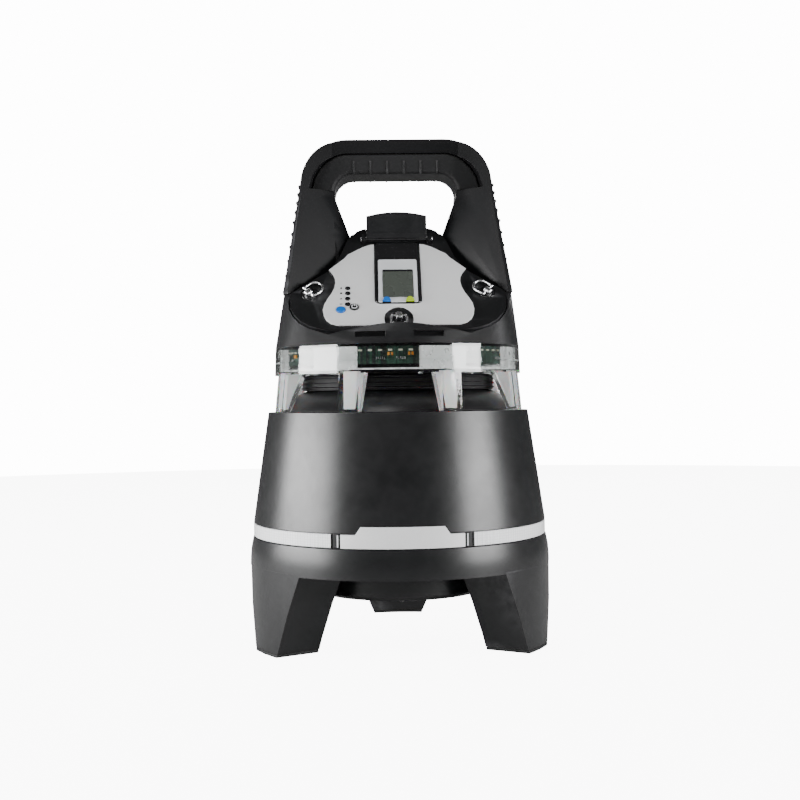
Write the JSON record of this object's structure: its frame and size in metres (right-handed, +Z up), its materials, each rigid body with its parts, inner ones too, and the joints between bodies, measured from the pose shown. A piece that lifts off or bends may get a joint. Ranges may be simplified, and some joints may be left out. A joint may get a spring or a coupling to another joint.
{
  "type": "portable area gas monitor",
  "caption": "Portable area gas monitor with siren, clear alarm light ring, carrying handle and a docked handheld gas detector on a three-footed battery base.",
  "frame": {"origin": "on the floor at the centre of the round base", "axes": "+Z up, -Y towards the front with the control module, +X to the right seen from the front"},
  "size_m": [0.3, 0.3, 0.498],
  "materials": {
    "black": "fine satin moulded texture",
    "rubber": "matt soft rubber",
    "clear": "clear polished polycarbonate",
    "frosted": "frosted white, light scattering",
    "silver": "silver lacquered overlay",
    "reflective": "retroreflective silver-white film under clear face",
    "steel": "bright polished steel",
    "frame_metal": "plain aluminium",
    "board": "green solder mask",
    "display": "grey-green liquid crystal behind clear window",
    "white": "light silver-white",
    "blue": "smooth blue",
    "green": "smooth lime green",
    "lens": "dark glossy window"
  },
  "bodies": {
    "main": {"alarm_output_socket": "black", "band_clip_left": "black", "band_clip_right": "black", "battery_cover": "black", "battery_housing": "black", "battery_pack": "frame_metal", "charging_socket": "black", "chassis_plate": "frame_metal", "control_board": "board", "cover_screw_1": "steel", "cover_screw_2": "steel", "cover_screw_3": "steel", "foot_pad_1": "rubber", "foot_pad_2": "rubber", "foot_pad_3": "rubber", "handle": "black", "handle_grip": "rubber", "led_board": "board", "light_diffuser": "frosted", "light_ring": "clear", "lower_body": "black", "name_plate": "silver", "rear_cover": "black", "rear_screw_1": "steel", "rear_screw_2": "steel", "rear_screw_3": "steel", "rear_screw_4": "steel", "sample_pump": "black", "siren": "black", "strip_left": "reflective", "strip_rear": "reflective", "strip_right": "reflective", "top_board": "board", "upper_housing": "black"},
    "control_module": {"module_plate": "black", "fascia": "silver", "flap_pin": "steel", "indicator_1": "lens", "indicator_2": "lens", "indicator_3": "lens", "indicator_4": "lens"},
    "detector": {"detector_body": "black", "detector_bezel": "white", "detector_display": "display"},
    "detector_button_left": {"detector_button_left": "blue"},
    "detector_button_right": {"detector_button_right": "green"},
    "power_button": {"power_button": "black"},
    "alarm_button": {"alarm_button": "blue"},
    "clamp_flap": {"clamp_flap": "black"},
    "charging_cap": {"charging_cap": "rubber"},
    "alarm_output_cap": {"alarm_output_cap": "rubber"},
    "fastener_left": {"fastener_stud_left": "steel"},
    "pull_ring_left": {"fastener_ring_left": "steel"},
    "fastener_right": {"fastener_stud_right": "steel"},
    "pull_ring_right": {"fastener_ring_right": "steel"},
    "fastener_bottom": {"fastener_stud_bottom": "steel"},
    "pull_ring_bottom": {"fastener_ring_bottom": "steel"}
  },
  "joints": [
    {"name": "module_lift", "type": "slide", "parent": "main", "child": "control_module", "axis": [0, -0.766, 0.6428], "range_m": [0, 0.09]},
    {"name": "detector_slide", "type": "slide", "parent": "control_module", "child": "detector", "axis": [0, -0.766, 0.6428], "range_m": [0, 0.06]},
    {"name": "detector_button_left_press", "type": "slide", "parent": "detector", "child": "detector_button_left", "axis": [0, 0.766, -0.6428], "range_m": [0, 0.0008], "stiffness_N_per_m": 600, "springref_m": -0.002},
    {"name": "detector_button_right_press", "type": "slide", "parent": "detector", "child": "detector_button_right", "axis": [0, 0.766, -0.6428], "range_m": [0, 0.0008], "stiffness_N_per_m": 600, "springref_m": -0.002},
    {"name": "power_button_press", "type": "slide", "parent": "control_module", "child": "power_button", "axis": [0, 0.766, -0.6428], "range_m": [0, 0.001], "stiffness_N_per_m": 600, "springref_m": -0.002},
    {"name": "alarm_button_press", "type": "slide", "parent": "control_module", "child": "alarm_button", "axis": [0, 0.766, -0.6428], "range_m": [0, 0.001], "stiffness_N_per_m": 600, "springref_m": -0.002},
    {"name": "clamp_flap_hinge", "type": "hinge", "parent": "control_module", "child": "clamp_flap", "pos_m": [0, -0.03426, 0.39794], "axis": [1, 0, 0], "range_deg": [-27, 0], "stiffness_Nm_per_rad": 0.03, "springref_deg": 28.65},
    {"name": "fastener_turn_left", "type": "hinge", "parent": "control_module", "child": "fastener_left", "pos_m": [-0.0845, -0.07761, 0.34098], "axis": [0, -0.766, 0.6428], "range_deg": [-90, 0]},
    {"name": "ring_flip_left", "type": "hinge", "parent": "fastener_left", "child": "pull_ring_left", "pos_m": [-0.0845, -0.08006, 0.34304], "axis": [-0.6561, 0.4851, 0.5781], "range_deg": [-95, 0]},
    {"name": "fastener_turn_right", "type": "hinge", "parent": "control_module", "child": "fastener_right", "pos_m": [0.0845, -0.07761, 0.34098], "axis": [0, -0.766, 0.6428], "range_deg": [0, 90]},
    {"name": "ring_flip_right", "type": "hinge", "parent": "fastener_right", "child": "pull_ring_right", "pos_m": [0.0845, -0.08006, 0.34304], "axis": [-0.6561, -0.4851, -0.5781], "range_deg": [-95, 0]},
    {"name": "fastener_turn_bottom", "type": "hinge", "parent": "control_module", "child": "fastener_bottom", "pos_m": [0, -0.0985, 0.31609], "axis": [0, -0.766, 0.6428], "range_deg": [0, 90]},
    {"name": "ring_flip_bottom", "type": "hinge", "parent": "fastener_bottom", "child": "pull_ring_bottom", "pos_m": [0, -0.10095, 0.31814], "axis": [1, 0, 0], "range_deg": [-95, 0]},
    {"name": "charging_cap_hinge", "type": "hinge", "parent": "main", "child": "charging_cap", "pos_m": [0.034, 0.07962, 0.35011], "axis": [-1, 0, 0], "range_deg": [-110, 0]},
    {"name": "alarm_output_cap_hinge", "type": "hinge", "parent": "main", "child": "alarm_output_cap", "pos_m": [-0.034, 0.0809, 0.34857], "axis": [-1, 0, 0], "range_deg": [-110, 0]}
  ]
}
